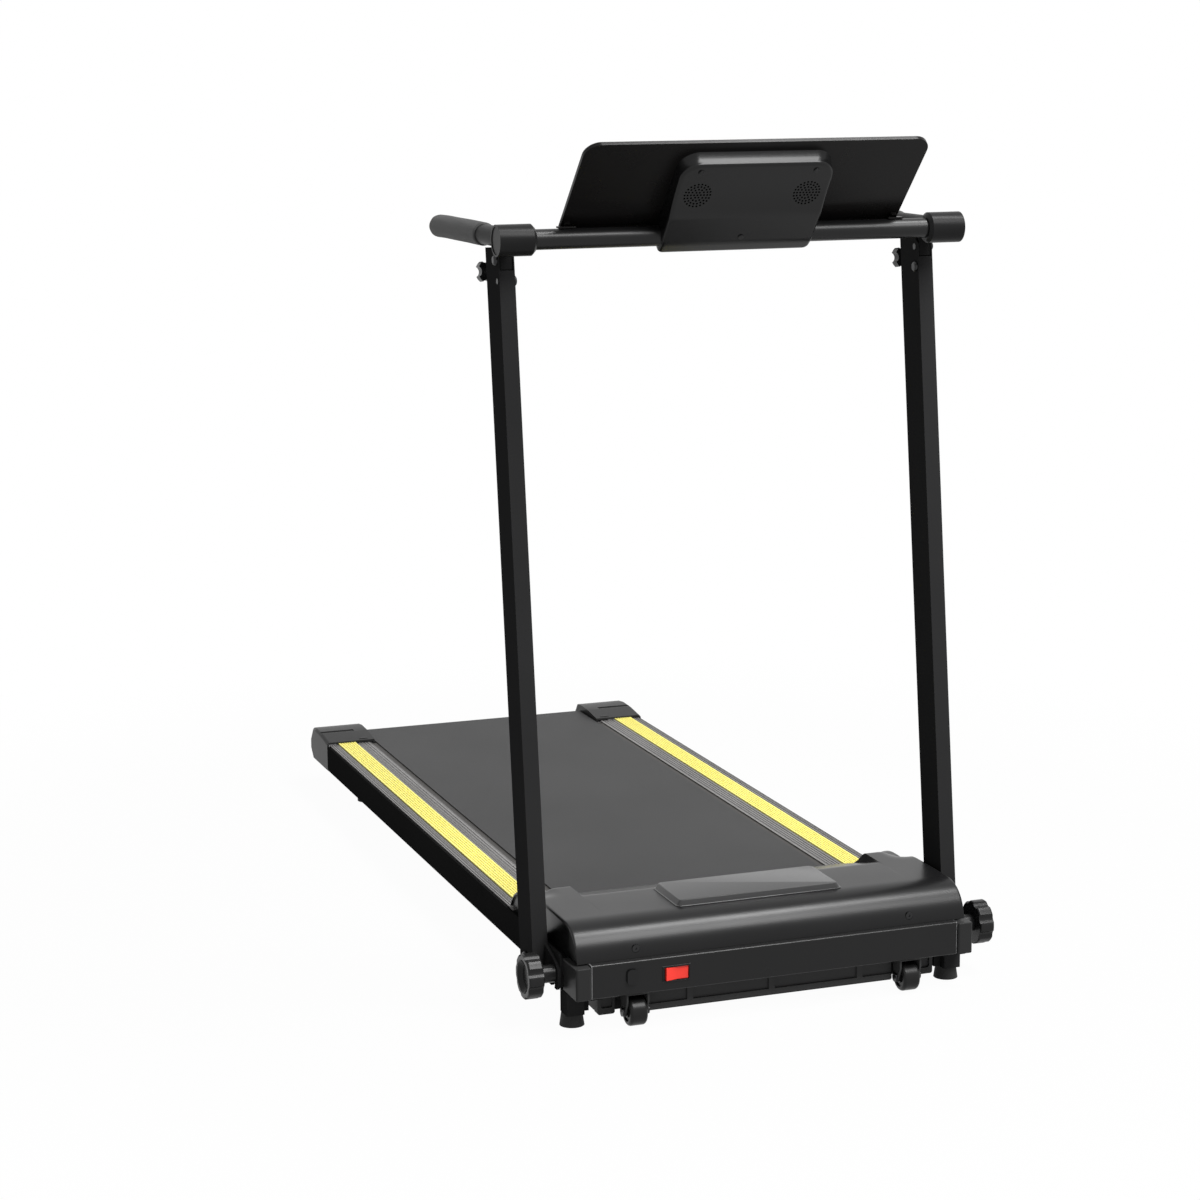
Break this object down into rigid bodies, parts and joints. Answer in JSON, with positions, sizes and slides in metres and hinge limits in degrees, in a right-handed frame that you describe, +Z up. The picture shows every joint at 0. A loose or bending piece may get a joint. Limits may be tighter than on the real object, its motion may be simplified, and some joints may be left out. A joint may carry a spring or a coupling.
{
  "type": "treadmill",
  "caption": "Folding motor treadmill: low belt deck with side boards, two posts and a crossbar with console, hand grips, lock knobs and transport wheels.",
  "frame": {"origin": "on the floor under the middle of the whole machine, with the mast upright", "axes": "+Z up, +Y from the motor end towards the rear roller, where the user walks; the user faces -Y. +X is to the right as seen from the front. Left and right in names are as seen from the front."},
  "size_m": [0.6272, 1.288, 1.0644],
  "materials": {
    "satin_black_steel": "satin black powder coat",
    "black_plastic": "fine matte texture",
    "dark_panel_plastic": "smooth satin",
    "blank_plate": "smooth satin",
    "rail_grey": "ribbed satin",
    "yellow_strip": "ribbed matte",
    "belt_pvc": "fine diamond texture",
    "grip_foam": "closed-cell foam",
    "rubber_black": "matte",
    "red_plastic": "gloss",
    "zinc_steel": "zinc plated",
    "roller_steel": "turned",
    "deck_wood": "waxed black top board",
    "screen": "gloss",
    "circuit_board": "solder mask",
    "motor_paint": "satin"
  },
  "bodies": {
    "base": {"front_beam": "satin_black_steel", "beam_end_caps": "black_plastic", "side_rail_left": "satin_black_steel", "side_rail_right": "satin_black_steel", "deck_crossmembers": "satin_black_steel", "front_legs": "satin_black_steel", "rubber_feet": "rubber_black", "pivot_plates": "satin_black_steel", "wheel_brackets": "black_plastic", "pivot_bolts": "zinc_steel", "roller_axles": "zinc_steel", "roller_bearings": "zinc_steel", "tension_bolts": "zinc_steel", "walking_belt": "belt_pvc", "deck_board": "deck_wood", "deck_cushions": "rubber_black", "foot_rail_left": "rail_grey", "foot_rail_right": "rail_grey", "grip_strips": "yellow_strip", "rear_cap_left": "black_plastic", "rear_cap_right": "black_plastic", "motor_body": "motor_paint", "motor_mount": "satin_black_steel", "drive_belt": "rubber_black", "controller_box": "motor_paint", "cord_gland": "black_plastic", "motor_cover": "black_plastic", "name_plate": "blank_plate", "cover_screws": "zinc_steel", "belly_shroud": "black_plastic", "switch_body": "black_plastic", "breaker_body": "black_plastic"},
    "mast": {"upright_left": "satin_black_steel", "upright_right": "satin_black_steel", "handle_bolts": "zinc_steel"},
    "handlebar": {"crossbar": "satin_black_steel", "tee_sleeves": "black_plastic", "handle_arms": "satin_black_steel", "grip_left": "grip_foam", "grip_right": "grip_foam", "console_panel": "dark_panel_plastic", "console_housing": "black_plastic", "display_window": "screen", "membrane_keypad": "dark_panel_plastic", "console_board": "circuit_board", "console_speakers": "motor_paint", "console_screws": "zinc_steel"},
    "lock_knob_left": {"lock_knob_left": "black_plastic"},
    "lock_knob_right": {"lock_knob_right": "black_plastic"},
    "star_knob_left": {"star_knob_left": "black_plastic"},
    "star_knob_right": {"star_knob_right": "black_plastic"},
    "wheel_left": {"wheel_left": "black_plastic"},
    "wheel_right": {"wheel_right": "black_plastic"},
    "front_roller": {"front_roller": "roller_steel", "roller_pulley": "roller_steel"},
    "rear_roller": {"rear_roller": "roller_steel"},
    "motor_rotor": {"motor_rotor": "roller_steel"},
    "power_rocker": {"power_rocker": "red_plastic"},
    "breaker_button": {"breaker_button": "black_plastic"},
    "safety_key": {"safety_key": "red_plastic"}
  },
  "joints": [
    {"name": "mast_fold", "type": "hinge", "parent": "base", "child": "mast", "pos_m": [0, -0.5271, 0.068], "axis": [-1, 0, 0], "range_deg": [0, 81.4]},
    {"name": "handlebar_fold", "type": "hinge", "parent": "mast", "child": "handlebar", "pos_m": [0, -0.4406, 0.9207], "axis": [1, 0, 0], "range_deg": [0, 78.32]},
    {"name": "lock_knob_left_turn", "type": "hinge", "parent": "base", "child": "lock_knob_left", "pos_m": [-0.3, -0.5836, 0.0645], "axis": [-1, 0, 0], "range_deg": [0, 360]},
    {"name": "lock_knob_right_turn", "type": "hinge", "parent": "base", "child": "lock_knob_right", "pos_m": [0.3, -0.5836, 0.0645], "axis": [1, 0, 0], "range_deg": [0, 360]},
    {"name": "star_knob_left_turn", "type": "hinge", "parent": "mast", "child": "star_knob_left", "pos_m": [-0.28135, -0.39723, 0.90441], "axis": [0, 0.9929, -0.1193], "range_deg": [0, 360]},
    {"name": "star_knob_right_turn", "type": "hinge", "parent": "mast", "child": "star_knob_right", "pos_m": [0.28135, -0.39723, 0.90441], "axis": [0, 0.9929, -0.1193], "range_deg": [0, 360]},
    {"name": "wheel_left_roll", "type": "hinge", "parent": "base", "child": "wheel_left", "pos_m": [-0.1833, -0.6246, 0.0188], "axis": [1, 0, 0], "continuous": true},
    {"name": "wheel_right_roll", "type": "hinge", "parent": "base", "child": "wheel_right", "pos_m": [0.1833, -0.6246, 0.0188], "axis": [1, 0, 0], "continuous": true},
    {"name": "front_roller_turn", "type": "hinge", "parent": "base", "child": "front_roller", "pos_m": [0, -0.419, 0.066], "axis": [1, 0, 0], "continuous": true},
    {"name": "rear_roller_turn", "type": "hinge", "parent": "base", "child": "rear_roller", "pos_m": [0, 0.616, 0.066], "axis": [1, 0, 0], "continuous": true},
    {"name": "motor_turn", "type": "hinge", "parent": "base", "child": "motor_rotor", "pos_m": [-0.099, -0.531, 0.075], "axis": [1, 0, 0], "continuous": true},
    {"name": "power_rocker_tilt", "type": "hinge", "parent": "base", "child": "power_rocker", "pos_m": [-0.135, -0.636, 0.066], "axis": [0, 0, -1], "range_deg": [0, 14]},
    {"name": "breaker_button_pop", "type": "slide", "parent": "base", "child": "breaker_button", "axis": [0, -1, 0], "range_m": [0, 0.003]},
    {"name": "safety_key_pull", "type": "slide", "parent": "handlebar", "child": "safety_key", "axis": [0, 0.7151, 0.6991], "range_m": [0, 0.02]}
  ],
  "couplings": [
    {"joint": "handlebar_fold", "follows": "mast_fold", "ratio": 0.9621},
    {"joint": "rear_roller_turn", "follows": "front_roller_turn", "ratio": 1},
    {"joint": "motor_turn", "follows": "front_roller_turn", "ratio": 2}
  ]
}
